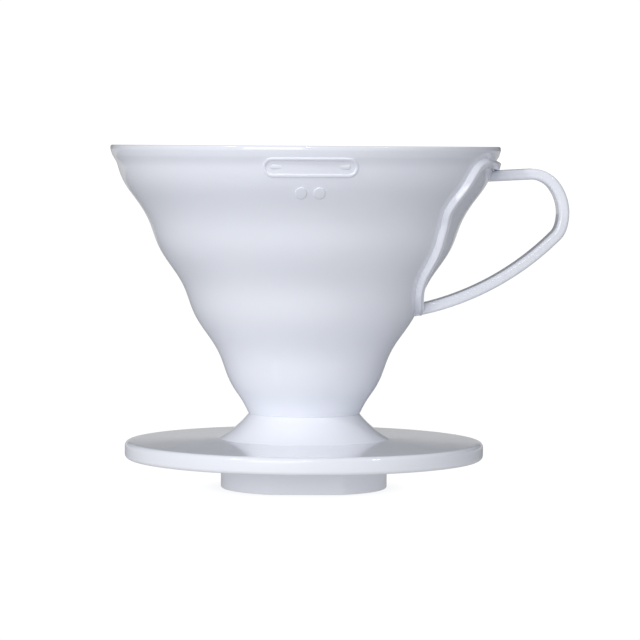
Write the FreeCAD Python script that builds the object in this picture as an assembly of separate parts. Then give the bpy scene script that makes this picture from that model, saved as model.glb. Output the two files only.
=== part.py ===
import FreeCAD, Part
import math
import os

# Pour over dripper: a wavy plastic cone with spiral ribs, a strap handle and a saucer base.
# Millimetres. +Z up along the cone's axis, +X towards the handle, z = 0 at the ring's foot.

# Cone, outside
HEIGHT = 102.0              # ring's foot to the top of the lip
MOUTH_RADIUS = 58.0         # outside of the lip
LIP_BAND = 2.9              # upright band at the top of the wall
LIP_ROUND = 0.9             # rounding of the lip's two edges
NECK_RADIUS = 16.6          # sharp crease where the cone meets the base
NECK_Z = 22.3
WAVE_PITCH = 20.0           # crest to crest, measured upwards
WAVE_DEPTH = 0.6            # crest above the straight cone
FIRST_NODE = 3.0            # from the lip band down to the first wave

# Cone, inside
LIP_WALL = 2.3
NECK_WALL = 3.5             # wall at the crease; the inner cone runs straight from lip to neck
OUTLET_RADIUS = 9.75
SPOUT_BOTTOM_Z = 10.4
SPOUT_WALL = 2.1
SPIGOT_CLEARANCE = 0.1      # spout inside the collar's socket

# Spiral ribs
RIB_COUNT = 12
RIB_HEIGHT = 1.8
RIB_WIDTH = 1.7
RIB_CROWN = 0.55            # width of the crown, as a share of the root
RIB_TAPER = 0.35            # a rib loses this share of its size on its way down
RIB_END = 0.5               # size of the run-out at either end
RIB_SINK = 0.4              # root sunk into the wall before it is trimmed
RIB_LEAN = 22.0             # degrees from the straight line down the cone
RIB_TOP_DROP = 5.0          # rib's upper end below the lip's top
LONG_RIB_GAP = 2.3          # lower end of a long rib above the outlet's own cylinder
SHORT_RIB_DROP = 39.0       # upper end to lower end of a short rib
RIB_STATIONS = 9

# Handle
STRAP_THICKNESS = 3.2
STRAP_WIDTH = 10.0
STRAP_ROUND = 1.0
STRAP_TOP_DROP = 8.75       # upper root's centre below the lip's top
STRAP_FOOT_Z = 53.0         # lower root's centre
STRAP_TOP_RUN = 12.0        # straight run out of the cone
STRAP_RISE = 3.1            # degrees that the run climbs
SHOULDER_RADIUS = 8.6
SHOULDER_TURN = 57.0
GRIP_RADIUS = 13.7
GRIP_TURN = 54.0
HEEL_RADIUS = 6.5
HEEL_TURN = 27.0

# Raised frame that joins the handle to the cone
FRAME_HEIGHT = 2.2
FRAME_WIDTH = 2.6
FRAME_TOP_DROP = 3.4        # frame's upper corners below the lip's top
FRAME_HALF_TOP = 28.4       # sideways reach of the upper corners
FRAME_CORNER_DROP = 2.0     # size of the upper corners
FRAME_CORNER_RUN = 3.5
FRAME_HALF_BROW = 30.4      # widest place
FRAME_BROW_DROP = 12.9
FRAME_HALF_WAIST = 24.2
FRAME_WAIST_DROP = 26.0
FRAME_HALF_HIP = 16.6
FRAME_HIP_RISE = 6.9        # above the strap's lower root

# Raised marks on the front
MARK_HEIGHT = 0.45
MARK_TOP_DROP = 3.2
MARK_WIDTH = 27.0
MARK_BAND = 5.6
MARK_LINE = 0.9
MARK_BAR_HEIGHT = 1.2
MARK_BAR_GAP = 1.35         # outline to bar, at either end
PIP_DROP = 13.4
PIP_RADIUS = 1.7
PIP_PITCH = 5.2

# Base
COLLAR_RADIUS = 25.5        # where the flare meets the plate
COLLAR_WALL = 2.0
COLLAR_SWEEP = 0.6          # sag of the flare's concave curve
SOCKET_DEPTH = 5.0
PLATE_RADIUS = 53.5
PLATE_TOP_Z = 13.9          # at the outer edge
PLATE_RISE = 0.9            # the plate climbs this much towards the collar
PLATE_WALL = 2.3
EDGE_WALL = 2.2
EDGE_BOTTOM_Z = 8.8
EDGE_ROUND = 1.3
RING_RADIUS = 24.8
RING_WALL = 2.0
RING_FLAT_CUT = 2.4         # how deep each flat is cut into the ring's radius
RING_ROUND = 1.6            # rounding of the corners beside the flats

AXIS = FreeCAD.Vector(0, 0, 1)
CENTRE = FreeCAD.Vector(0, 0, 0)
LIP_BOTTOM_Z = HEIGHT - LIP_BAND
WALL_SLOPE = (MOUTH_RADIUS - NECK_RADIUS) / (LIP_BOTTOM_Z - NECK_Z)
MOUTH_INNER = MOUTH_RADIUS - LIP_WALL
INNER_SLOPE = (MOUTH_INNER - NECK_RADIUS + NECK_WALL) / (LIP_BOTTOM_Z - NECK_Z)
INNER_LEAN = math.atan(INNER_SLOPE)
SPIGOT_RADIUS = NECK_RADIUS - COLLAR_WALL - SPIGOT_CLEARANCE
PLATE_UNDER_Z = PLATE_TOP_Z - PLATE_WALL
SOCKET_END_Z = NECK_Z - SOCKET_DEPTH
CONE_END_Z = LIP_BOTTOM_Z - (MOUTH_INNER - OUTLET_RADIUS) / INNER_SLOPE
RIB_TOP_Z = HEIGHT - RIB_TOP_DROP


def at(r, z):
    """A point of a profile: r from the axis, z up."""
    return FreeCAD.Vector(r, 0, z)


def line(a, b):
    return Part.LineSegment(a, b).toShape()


def arc(a, middle, b):
    return Part.Arc(a, middle, b).toShape()


def turned(edges):
    """Solid of revolution from a closed profile in the XZ plane."""
    face = Part.Face(Part.Wire(edges))
    return face.revolve(CENTRE, AXIS, 360)


def chain(points):
    """Straight edges through points, closed."""
    return [line(a, b) for a, b in zip(points, points[1:] + points[:1])]


def straight_radius(z):
    """Radius of the straight cone that the waves run along."""
    return NECK_RADIUS + (z - NECK_Z) * WALL_SLOPE


def inner_radius(z):
    """Radius of the smooth inner cone."""
    return MOUTH_INNER - max(LIP_BOTTOM_Z - z, 0.0) * INNER_SLOPE


def outer_edges(grow):
    """The wavy outside from the neck to the lip, moved outwards by grow."""
    nodes = []
    z = LIP_BOTTOM_Z - FIRST_NODE
    while z > NECK_Z + WAVE_PITCH / 8:
        nodes.append(z)
        z -= WAVE_PITCH / 2
    lean = math.atan(WALL_SLOPE)
    points = [at(straight_radius(z) + grow, z) for z in nodes]
    edges = [line(at(MOUTH_RADIUS + grow, HEIGHT), at(MOUTH_RADIUS + grow, LIP_BOTTOM_Z)),
             line(at(MOUTH_RADIUS + grow, LIP_BOTTOM_Z), points[0])]
    side = 1
    for upper, lower in zip(points, points[1:]):
        out = FreeCAD.Vector(math.cos(lean), 0, -math.sin(lean)) * (WAVE_DEPTH * side)
        edges.append(arc(upper, (upper + lower) * 0.5 + out, lower))
        side = -side
    edges.append(line(points[-1], at(NECK_RADIUS + grow, NECK_Z)))
    return edges


def outer_block(grow):
    """Everything inside the wavy outside, as a full solid."""
    edges = outer_edges(grow)
    edges.append(line(at(NECK_RADIUS + grow, NECK_Z), at(0, NECK_Z)))
    edges.append(line(at(0, NECK_Z), at(0, HEIGHT)))
    edges.append(line(at(0, HEIGHT), at(MOUTH_RADIUS + grow, HEIGHT)))
    return turned(edges)


def cavity():
    """The space inside the cone, from the outlet to above the lip."""
    top = HEIGHT + 1
    return turned(chain([at(0, CONE_END_Z), at(OUTLET_RADIUS, CONE_END_Z),
                         at(MOUTH_INNER, LIP_BOTTOM_Z), at(MOUTH_INNER, top), at(0, top)]))


def cone_wall():
    wall = outer_block(0).cut(cavity())
    lip = [e for e in wall.Edges
           if len(e.Vertexes) == 1 and abs(e.Vertexes[0].Z - HEIGHT) < 1e-6]
    return wall.makeFillet(min(LIP_ROUND, LIP_WALL * 0.45), lip)


def outlet_spout():
    """Lower end of the cone: a plug in the socket, then a taper round the outlet."""
    tip = OUTLET_RADIUS + SPOUT_WALL
    return turned(chain([at(inner_radius(NECK_Z), NECK_Z), at(OUTLET_RADIUS, CONE_END_Z),
                         at(OUTLET_RADIUS, SPOUT_BOTTOM_Z), at(tip, SPOUT_BOTTOM_Z),
                         at(SPIGOT_RADIUS, SOCKET_END_Z), at(SPIGOT_RADIUS, NECK_Z)]))


def rib_section(z, turn, size):
    """Rib outline across the cone at height z, its root sunk a little into the wall."""
    level = math.cos(INNER_LEAN)
    outward = FreeCAD.Vector(math.cos(turn) * level, math.sin(turn) * level,
                             -math.sin(INNER_LEAN))
    along = FreeCAD.Vector(-math.sin(turn), math.cos(turn), 0)
    radius = inner_radius(z)
    root = FreeCAD.Vector(radius * math.cos(turn), radius * math.sin(turn), z)
    wide = RIB_WIDTH * size / 2
    crown = wide * RIB_CROWN
    deep = RIB_HEIGHT * size
    corners = [root + outward * RIB_SINK + along * wide, root - outward * deep + along * crown,
               root - outward * deep - along * crown, root + outward * RIB_SINK - along * wide]
    return Part.makePolygon(corners + corners[:1])


def rib(end_z):
    """One spiral rib: a constant lean makes a spiral that tightens with the radius."""
    tightness = math.tan(math.radians(RIB_LEAN)) / math.sin(INNER_LEAN)
    sections = []
    for i in range(RIB_STATIONS):
        t = i / (RIB_STATIONS - 1)
        z = RIB_TOP_Z + (end_z - RIB_TOP_Z) * t
        turn = tightness * math.log(inner_radius(RIB_TOP_Z) / inner_radius(z))
        size = 1.0 - RIB_TAPER * t
        if i == 0 or i == RIB_STATIONS - 1:
            size *= RIB_END
        sections.append(rib_section(z, turn, size))
    solid = Part.makeLoft(sections, True, False)
    return solid.common(cavity())


def rib_ring(end_z, start):
    first = rib(end_z)
    ribs = []
    for i in range(RIB_COUNT):
        copy = first.copy()
        copy.rotate(CENTRE, AXIS, start + i * 360.0 / RIB_COUNT)
        ribs.extend(copy.Solids)
    return Part.makeCompound(ribs)


def strap_path():
    """Centre line of the handle: a straight run, three bends and one long arc home."""
    heading = math.radians(STRAP_RISE)
    z = HEIGHT - STRAP_TOP_DROP
    inside = LIP_WALL * 0.5
    here = at(straight_radius(z) - inside, z)
    run = STRAP_TOP_RUN + inside
    there = here + FreeCAD.Vector(math.cos(heading), 0, math.sin(heading)) * run
    edges = [line(here, there)]
    here = there
    for radius, turn in ((SHOULDER_RADIUS, SHOULDER_TURN), (GRIP_RADIUS, GRIP_TURN),
                         (HEEL_RADIUS, HEEL_TURN)):
        hub = here + FreeCAD.Vector(math.sin(heading), 0, -math.cos(heading)) * radius
        stops = []
        for part in (0.5, 1.0):
            h = heading - math.radians(turn) * part
            stops.append(hub + FreeCAD.Vector(-math.sin(h), 0, math.cos(h)) * radius)
        edges.append(arc(here, stops[0], stops[1]))
        here = stops[1]
        heading -= math.radians(turn)
    foot = at(straight_radius(STRAP_FOOT_Z) - inside, STRAP_FOOT_Z)
    chord = foot - here
    turn = heading - math.atan2(chord.z, chord.x)
    turn = (turn + math.pi) % (2 * math.pi) - math.pi
    bulge = FreeCAD.Vector(-chord.z, 0, chord.x) * (0.5 * math.tan(turn / 2))
    edges.append(arc(here, here + chord * 0.5 + bulge, foot))
    return Part.Wire(edges)


def strap_section(path):
    """Rounded rectangle across the start of the path."""
    start = path.Edges[0].Vertexes[0].Point
    heading = math.radians(STRAP_RISE)
    up = FreeCAD.Vector(-math.sin(heading), 0, math.cos(heading))
    side = FreeCAD.Vector(0, 1, 0)
    u = STRAP_WIDTH / 2
    v = STRAP_THICKNESS / 2
    c = min(STRAP_ROUND, v * 0.9)
    k = c * (1 - math.sqrt(0.5))

    def spot(a, b):
        return start + side * a + up * b
    edges = []
    for sa, sb in ((1, 1), (-1, 1), (-1, -1), (1, -1)):
        corner = [spot(sa * u, sb * (v - c)), spot(sa * (u - k), sb * (v - k)),
                  spot(sa * (u - c), sb * v)]
        if sa * sb < 0:
            corner.reverse()
        edges.append(arc(*corner))
    ends = [(e.valueAt(e.FirstParameter), e.valueAt(e.LastParameter)) for e in edges]
    for (_, a), (b, _) in zip(ends, ends[1:] + ends[:1]):
        edges.append(line(a, b))
    return Part.Wire(Part.__sortEdges__(edges))


def handle_loop():
    path = strap_path()
    strap = path.makePipeShell([strap_section(path)], True, False)
    return strap.cut(outer_block(0))


def on_cone(face, direction, height):
    """Raise a flat outline from the cone's outside: height proud, square to the cone's waves."""
    reach = FreeCAD.Vector(direction) * (MOUTH_RADIUS * 1.2)
    post = face.extrude(reach)
    return post.common(outer_block(height).cut(outer_block(0)))


def frame_outline(inset):
    """Heart-shaped outline of the handle's foot, seen along the handle."""
    top = HEIGHT - FRAME_TOP_DROP - inset
    half_top = FRAME_HALF_TOP - inset
    root = HEIGHT - STRAP_TOP_DROP + STRAP_THICKNESS / 2 - inset
    toe = STRAP_FOOT_Z - STRAP_THICKNESS / 2 + inset
    half_toe = STRAP_WIDTH / 2

    def spot(y, z):
        return FreeCAD.Vector(0, y, z)
    right = Part.BSplineCurve()
    right.interpolate([spot(half_toe, toe),
                       spot(FRAME_HALF_HIP - inset, STRAP_FOOT_Z + FRAME_HIP_RISE),
                       spot(FRAME_HALF_WAIST - inset, HEIGHT - FRAME_WAIST_DROP),
                       spot(FRAME_HALF_BROW - inset, HEIGHT - FRAME_BROW_DROP),
                       spot(half_top, top - FRAME_CORNER_DROP),
                       spot(half_top - FRAME_CORNER_RUN, top),
                       spot(half_toe, root)])
    edge = right.toShape()
    other = edge.mirror(CENTRE, FreeCAD.Vector(0, 1, 0))
    edges = [edge, other, line(spot(-half_toe, toe), spot(half_toe, toe)),
             line(spot(-half_toe, root), spot(half_toe, root))]
    return Part.Face(Part.Wire(Part.__sortEdges__(edges)))


def handle_foot(strap):
    band = frame_outline(0).cut(frame_outline(FRAME_WIDTH))
    return on_cone(band.Faces[0], (1, 0, 0), FRAME_HEIGHT).cut(strap)


def stadium(width, height, z):
    """Rounded bar lying along X at height z, in the XZ plane."""
    r = height / 2
    w = width / 2 - r
    return Part.Face(Part.Wire([line(at(-w, z + r), at(w, z + r)),
                                arc(at(w, z + r), at(w + r, z), at(w, z - r)),
                                line(at(w, z - r), at(-w, z - r)),
                                arc(at(-w, z - r), at(-w - r, z), at(-w, z + r))]))


def front_emblem():
    """A rounded bar drawn in outline with a plain bar inside it."""
    z = HEIGHT - MARK_TOP_DROP - MARK_BAND / 2
    outline = stadium(MARK_WIDTH, MARK_BAND, z)
    window = stadium(MARK_WIDTH - 2 * MARK_LINE, MARK_BAND - 2 * MARK_LINE, z)
    bar = stadium(MARK_WIDTH - 2 * (MARK_LINE + MARK_BAR_GAP), MARK_BAR_HEIGHT, z)
    shapes = [outline.cut(window).Faces[0], bar]
    return Part.makeCompound([s for f in shapes
                              for s in on_cone(f, (0, -1, 0), MARK_HEIGHT).Solids])


def size_pips():
    """Two round pips: the second size of a range."""
    pips = []
    for side in (-1, 1):
        z = HEIGHT - PIP_DROP
        disc = stadium(2 * PIP_RADIUS + 0.02, 2 * PIP_RADIUS, z)
        disc.translate(FreeCAD.Vector(side * PIP_PITCH / 2, 0, 0))
        pips.extend(on_cone(disc, (0, -1, 0), MARK_HEIGHT).Solids)
    return Part.makeCompound(pips)


def flare(start, end, sag):
    """Concave arc of the collar from its neck down to the plate."""
    chord = end - start
    hollow = FreeCAD.Vector(chord.z, 0, -chord.x).normalize() * sag
    return arc(start, (start + end) * 0.5 + hollow, end)


def base_collar():
    """Flared shell with a short socket hanging in its top for the cone's spout."""
    socket = NECK_RADIUS - COLLAR_WALL
    neck = at(NECK_RADIUS, NECK_Z)
    toe = at(COLLAR_RADIUS, PLATE_TOP_Z + PLATE_RISE)
    toe_under = at(COLLAR_RADIUS, PLATE_UNDER_Z)
    inner_toe = at(COLLAR_RADIUS - COLLAR_WALL, PLATE_UNDER_Z)
    inner_top = at(NECK_RADIUS, NECK_Z - COLLAR_WALL * 1.6)
    socket_foot = at(NECK_RADIUS, SOCKET_END_Z)
    socket_rim = at(socket, SOCKET_END_Z)
    return turned([flare(neck, toe, COLLAR_SWEEP), line(toe, toe_under),
                   line(toe_under, inner_toe), flare(inner_toe, inner_top, -COLLAR_SWEEP),
                   line(inner_top, socket_foot), line(socket_foot, socket_rim),
                   line(socket_rim, at(socket, NECK_Z)), line(at(socket, NECK_Z), neck)])


def base_plate():
    inner = COLLAR_RADIUS
    outer = PLATE_RADIUS - EDGE_WALL
    return turned(chain([at(inner, PLATE_UNDER_Z), at(outer, PLATE_UNDER_Z),
                         at(outer, PLATE_TOP_Z), at(inner, PLATE_TOP_Z + PLATE_RISE)]))


def plate_edge():
    """The saucer's outer edge, turned down, with both outer corners rounded."""
    inner = PLATE_RADIUS - EDGE_WALL
    r = min(EDGE_ROUND, EDGE_WALL * 0.6)
    k = r * (1 - math.sqrt(0.5))
    top = PLATE_TOP_Z
    low = EDGE_BOTTOM_Z
    out = PLATE_RADIUS
    return turned([line(at(inner, low), at(out - r, low)),
                   arc(at(out - r, low), at(out - k, low + k), at(out, low + r)),
                   line(at(out, low + r), at(out, top - r)),
                   arc(at(out, top - r), at(out - k, top - k), at(out - r, top)),
                   line(at(out - r, top), at(inner, top)),
                   line(at(inner, top), at(inner, low))])


def ring_outline(radius, height):
    """Round post with a flat at the front and the back, corners rounded."""
    flat = radius - RING_FLAT_CUT
    post = Part.makeCylinder(radius, height)
    slab = Part.makeBox(4 * radius, 2 * flat, height, FreeCAD.Vector(-2 * radius, -flat, 0))
    post = post.common(slab)
    corners = [e for e in post.Edges
               if len(e.Vertexes) == 2 and abs(e.tangentAt(e.FirstParameter).z) > 0.99]
    return post.makeFillet(RING_ROUND, corners)


def locating_ring(collar, plate):
    """Ring that drops into the cup, up to the underside of the plate and the collar."""
    tall = PLATE_UNDER_Z + COLLAR_WALL * 2
    ring = ring_outline(RING_RADIUS, tall)
    ring = ring.cut(ring_outline(RING_RADIUS - RING_WALL, tall))
    pieces = ring.cut(Part.makeCompound([collar, plate])).Solids
    return min(pieces, key=lambda s: s.BoundBox.ZMin)


def main():
    os.makedirs("parts", exist_ok=True)
    strap = handle_loop()
    collar = base_collar()
    plate = base_plate()
    nodes = {
        "cone_wall": cone_wall(),
        "outlet_spout": outlet_spout(),
        "long_ribs": rib_ring(CONE_END_Z + LONG_RIB_GAP, 0.0),
        "short_ribs": rib_ring(RIB_TOP_Z - SHORT_RIB_DROP, 180.0 / RIB_COUNT),
        "handle_loop": strap,
        "handle_foot": handle_foot(strap),
        "front_emblem": front_emblem(),
        "size_pips": size_pips(),
        "base_collar": collar,
        "base_plate": plate,
        "plate_edge": plate_edge(),
        "locating_ring": locating_ring(collar, plate),
    }
    for name, shape in nodes.items():
        shape.exportStep("parts/" + name + ".step")
        box = shape.BoundBox
        print(name, len(shape.Solids), shape.isValid(), round(shape.Volume, 1),
              [round(v, 2) for v in (box.XMin, box.YMin, box.ZMin, box.XMax, box.YMax, box.ZMax)])


main()
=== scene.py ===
# %% [markdown]
# # Pour over dripper
# A dripper holds a paper filter over a cup while hot water runs through the coffee. This one
# is two mouldings in glossy white polypropylene: a wavy cone with spiral ribs inside and a strap
# handle at its side, and a base with a collar, a saucer and a ring that drops into the cup.
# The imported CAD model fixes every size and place. Here each piece gets its fine shape and finish.

import math

import bmesh
import bpy
from mathutils import Matrix, Vector


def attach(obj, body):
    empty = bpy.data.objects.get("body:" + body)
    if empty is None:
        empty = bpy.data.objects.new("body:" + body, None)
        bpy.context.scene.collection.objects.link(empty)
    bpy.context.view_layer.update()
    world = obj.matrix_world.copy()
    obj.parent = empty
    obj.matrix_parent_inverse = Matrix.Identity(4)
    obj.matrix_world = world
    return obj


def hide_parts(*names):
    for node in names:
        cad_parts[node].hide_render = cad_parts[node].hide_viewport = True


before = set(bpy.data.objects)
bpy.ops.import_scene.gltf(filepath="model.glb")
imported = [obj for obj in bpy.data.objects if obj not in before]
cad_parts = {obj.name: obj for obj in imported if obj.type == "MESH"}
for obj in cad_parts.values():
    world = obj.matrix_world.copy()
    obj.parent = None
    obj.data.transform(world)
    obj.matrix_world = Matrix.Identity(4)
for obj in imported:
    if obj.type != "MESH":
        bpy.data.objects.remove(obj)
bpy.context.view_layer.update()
MM = 0.001
FULL_TURN = 2 * math.pi
scene = bpy.context.scene
print("nodes:", ", ".join(sorted(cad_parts)))

# %% [markdown]
# ## Camera
# A long lens almost a metre away, level with the lip and tipped down three degrees, keeps the
# cone's sides straight and just opens the saucer into a thin ellipse. The handle points right
# and a touch away. The camera's axes are worked out from its three small turns.

# %% Camera
CAMERA_DISTANCE = 955 * MM
CAMERA_HEIGHT = 102 * MM
CAMERA_SHIFT = -0.58 * MM
HANDLE_TURN = math.radians(1.45)
CAMERA_YAW = 0.0054
CAMERA_PITCH = 0.0543
CAMERA_ROLL = 0.006
LENS = 180.2

ahead = Vector((math.sin(CAMERA_YAW) * math.cos(CAMERA_PITCH),
                math.cos(CAMERA_YAW) * math.cos(CAMERA_PITCH), -math.sin(CAMERA_PITCH)))
level = Vector((math.cos(CAMERA_YAW), -math.sin(CAMERA_YAW), 0))
upward = level.cross(ahead)
right = level * math.cos(CAMERA_ROLL) + upward * math.sin(CAMERA_ROLL)
above = upward * math.cos(CAMERA_ROLL) - level * math.sin(CAMERA_ROLL)
axes = Matrix((right, above, -ahead)).transposed()
orbit = Matrix.Rotation(-HANDLE_TURN, 3, "Z")
camera = bpy.data.objects.new("camera", bpy.data.cameras.new("camera"))
camera.data.sensor_width = 36
camera.data.lens = LENS
camera.matrix_world = Matrix.LocRotScale(
    orbit @ Vector((CAMERA_SHIFT, -CAMERA_DISTANCE, CAMERA_HEIGHT)), orbit @ axes, None)
scene.collection.objects.link(camera)
scene.camera = camera
print("camera at", [round(v, 3) for v in camera.location])

# %% [markdown]
# ## Helpers for node trees
# Every material and every Geometry Nodes tree is a graph. One function adds a node, sets its
# properties and fills its inputs, by a plain value or by a link. Another starts a material with
# an empty graph. The third turns a colour as a paint chart gives it, sRGB hex, into the linear
# numbers that light is worked out in.

# %% Node and colour helpers
def add(tree, kind, inputs=None, **settings):
    """Add a node: settings are its properties, inputs are values or sockets to link."""
    made = tree.nodes.new(kind)
    for key, value in settings.items():
        setattr(made, key, value)
    for key, value in (inputs or {}).items():
        if isinstance(value, bpy.types.NodeSocket):
            tree.links.new(value, made.inputs[key])
        else:
            made.inputs[key].default_value = value
    return made


def bare_material(name):
    """New material and its empty tree."""
    material = bpy.data.materials.new(name)
    material.use_nodes = True
    material.node_tree.nodes.clear()
    return material, material.node_tree


def paint(code):
    """Linear RGBA from an sRGB hex code."""
    parts = [int(code[i:i + 2], 16) / 255 for i in (1, 3, 5)]
    return [c / 12.92 if c <= 0.04045 else ((c + 0.055) / 1.055) ** 2.4 for c in parts] + [1]


print("mid grey is", round(paint("#808080")[0], 3))

# %% [markdown]
# ## The plastic
# The real material is injection-moulded polypropylene, filled with white pigment and a trace of
# blue. Where the mould was polished the eye gets a clear, slightly rippled reflection over a
# milky body; inside the cone and its spout the mould was only ground, so the sheen is softer.
# Three things keep it from looking like flat paint: the melt's slow ripple as it froze, a fine
# orange peel, and a roughness and tone that drift a little over the surface. The grain is drawn
# from real sizes in millimetres; the orange peel is a little coarser than life so that it shows.

# %% Polypropylene, one recipe for each mould finish
RIPPLE_SIZE = 14.0 * MM
PEEL_SIZE = 1.1 * MM
TONE_SIZE = 45.0 * MM
WEAR_SIZE = 5.0 * MM


def moulded_polypropylene(name, body, drift, rough, rough_spread, ripple, peel):
    """White polypropylene: body and drift are its two tones, ripple and peel are heights."""
    material, tree = bare_material(name)
    place = add(tree, "ShaderNodeTexCoord").outputs["Object"]
    tone = add(tree, "ShaderNodeTexNoise",
               {"Vector": place, "Scale": 1 / TONE_SIZE, "Detail": 2.0})
    colour = add(tree, "ShaderNodeMix", {"Factor": tone.outputs["Fac"], "A": paint(body),
                                         "B": paint(drift)}, data_type="RGBA")
    wear = add(tree, "ShaderNodeTexNoise",
               {"Vector": place, "Scale": 1 / WEAR_SIZE, "Detail": 5.0, "Roughness": 0.65})
    gloss = add(tree, "ShaderNodeMapRange",
                {"Value": wear.outputs["Fac"], "From Min": 0.3, "From Max": 0.7,
                 "To Min": rough - rough_spread, "To Max": rough + rough_spread})
    slow = add(tree, "ShaderNodeTexNoise",
               {"Vector": place, "Scale": 1 / RIPPLE_SIZE, "Detail": 1.0})
    fine = add(tree, "ShaderNodeTexNoise",
               {"Vector": place, "Scale": 1 / PEEL_SIZE, "Detail": 2.0})
    low = add(tree, "ShaderNodeBump",
              {"Strength": 1.0, "Distance": ripple, "Height": slow.outputs["Fac"]})
    high = add(tree, "ShaderNodeBump", {"Strength": 1.0, "Distance": peel,
                                        "Height": fine.outputs["Fac"],
                                        "Normal": low.outputs["Normal"]})
    shader = add(tree, "ShaderNodeBsdfPrincipled",
                 {"Base Color": colour.outputs[2], "Roughness": gloss.outputs["Result"],
                  "IOR": 1.49, "Normal": high.outputs["Normal"]})
    add(tree, "ShaderNodeOutputMaterial", {"Surface": shader.outputs["BSDF"]})
    return material


POLISHED = moulded_polypropylene("polypropylene_white_polished", "#F0F2F8", "#E9ECF5",
                                 0.09, 0.03, 0.03 * MM, 0.0008 * MM)
SATIN = moulded_polypropylene("polypropylene_white_satin", "#EFF1F7", "#E7EAF3",
                              0.27, 0.06, 0.03 * MM, 0.004 * MM)
print("materials:", [m.name for m in bpy.data.materials])

# %% [markdown]
# ## Sizes of the cone
# These are the CAD model's own sizes, in metres, and two finer details: under the lip the first
# wave is a little fuller and the wall is half a millimetre narrower than the mouth. The wall is
# a straight cone with slow waves along it: the radius at any height follows from one formula, so
# it can be a rule in a node tree and a small function here, and the marks and the handle's frame
# sit on it exactly.

# %% Sizes and the wall's rule
HEIGHT = 102.0 * MM
MOUTH_RADIUS = 58.0 * MM
LIP_BAND = 2.9 * MM
LIP_ROUND = 0.9 * MM
LIP_WALL = 2.3 * MM
NECK_RADIUS = 16.6 * MM
NECK_Z = 22.3 * MM
NECK_WALL = 3.5 * MM
WAVE_PITCH = 20.0 * MM
WAVE_DEPTH = 0.6 * MM
FIRST_CREST = 91.1 * MM
CREST_EXTRA = 0.2 * MM
LIP_BOTTOM_Z = HEIGHT - LIP_BAND
FADE_IN = WAVE_PITCH / 2.5  # the waves grow over this height above the neck
FADE_OUT = LIP_BAND * 1.4   # and die away over this height below the lip
WALL_TOP_RADIUS = 57.5 * MM
WALL_SLOPE = (WALL_TOP_RADIUS - NECK_RADIUS) / (LIP_BOTTOM_Z - NECK_Z)
MOUTH_INNER = MOUTH_RADIUS - LIP_WALL
INNER_SLOPE = (MOUTH_INNER - NECK_RADIUS + NECK_WALL) / (LIP_BOTTOM_Z - NECK_Z)


def smooth(low, high, value):
    """0 up to low, 1 from high, an even S between."""
    t = min(max((value - low) / (high - low), 0.0), 1.0)
    return t * t * (3 - 2 * t)


def wall_radius(z):
    """Outside radius of the wavy cone at height z."""
    wave = math.cos(FULL_TURN * (z - FIRST_CREST) / WAVE_PITCH)
    depth = WAVE_DEPTH + CREST_EXTRA * smooth(FIRST_CREST - WAVE_PITCH / 2, FIRST_CREST, z)
    fade = smooth(NECK_Z, NECK_Z + FADE_IN, z)
    fade *= 1 - smooth(LIP_BOTTOM_Z - FADE_OUT, LIP_BOTTOM_Z, z)
    return NECK_RADIUS + (z - NECK_Z) * WALL_SLOPE + depth * fade * wave


print("radius at the first crest:", round(wall_radius(FIRST_CREST) / MM, 2), "mm")

# %% [markdown]
# ## From a tree to a plain mesh
# A Geometry Nodes tree gets its sizes by name, through one socket for each. The modifier keeps
# a value under the socket's identifier, so the label is looked up first. The evaluated result is
# copied into a plain mesh and the base object with its modifier is thrown away: what is left
# sits at the origin and has its place in its vertices, as the CAD's own nodes do.

# %% Tree and mesh helpers
SMOOTH_ANGLE = math.radians(32)


def new_tree(name, sizes):
    """Geometry Nodes tree with a geometry input and output and one named input per size."""
    tree = bpy.data.node_groups.new(name, "GeometryNodeTree")
    tree.interface.new_socket("Geometry", in_out="INPUT", socket_type="NodeSocketGeometry")
    for label, value in sizes.items():
        kind = "NodeSocketInt" if isinstance(value, int) else "NodeSocketFloat"
        tree.interface.new_socket(label, in_out="INPUT", socket_type=kind).default_value = value
    tree.interface.new_socket("Material", in_out="INPUT", socket_type="NodeSocketMaterial")
    tree.interface.new_socket("Geometry", in_out="OUTPUT", socket_type="NodeSocketGeometry")
    return tree, add(tree, "NodeGroupInput").outputs


def close_tree(tree, geometry, material):
    """Every tree ends the same way: real geometry, doubles merged, one material."""
    real = add(tree, "GeometryNodeRealizeInstances", {"Geometry": geometry})
    merged = add(tree, "GeometryNodeMergeByDistance",
                 {"Geometry": real.outputs[0], "Distance": 0.004 * MM})
    coated = add(tree, "GeometryNodeSetMaterial",
                 {"Geometry": merged.outputs[0], "Material": material})
    add(tree, "NodeGroupOutput", {"Geometry": coated.outputs[0]})


def grown(name, base, tree, material, sizes):
    """Run the tree on a base mesh or curve and keep the result as a plain mesh object."""
    carrier = bpy.data.objects.new(name + "_carrier", base)
    scene.collection.objects.link(carrier)
    modifier = carrier.modifiers.new(tree.name, "NODES")
    modifier.node_group = tree
    for item in tree.interface.items_tree:
        if item.in_out == "INPUT" and item.name in sizes:
            modifier[item.identifier] = sizes[item.name]
        if item.in_out == "INPUT" and item.name == "Material":
            modifier[item.identifier] = material
    ready = carrier.evaluated_get(bpy.context.evaluated_depsgraph_get())
    mesh = bpy.data.meshes.new_from_object(ready)
    bpy.data.objects.remove(carrier)
    return settled(name, mesh, material)


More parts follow.
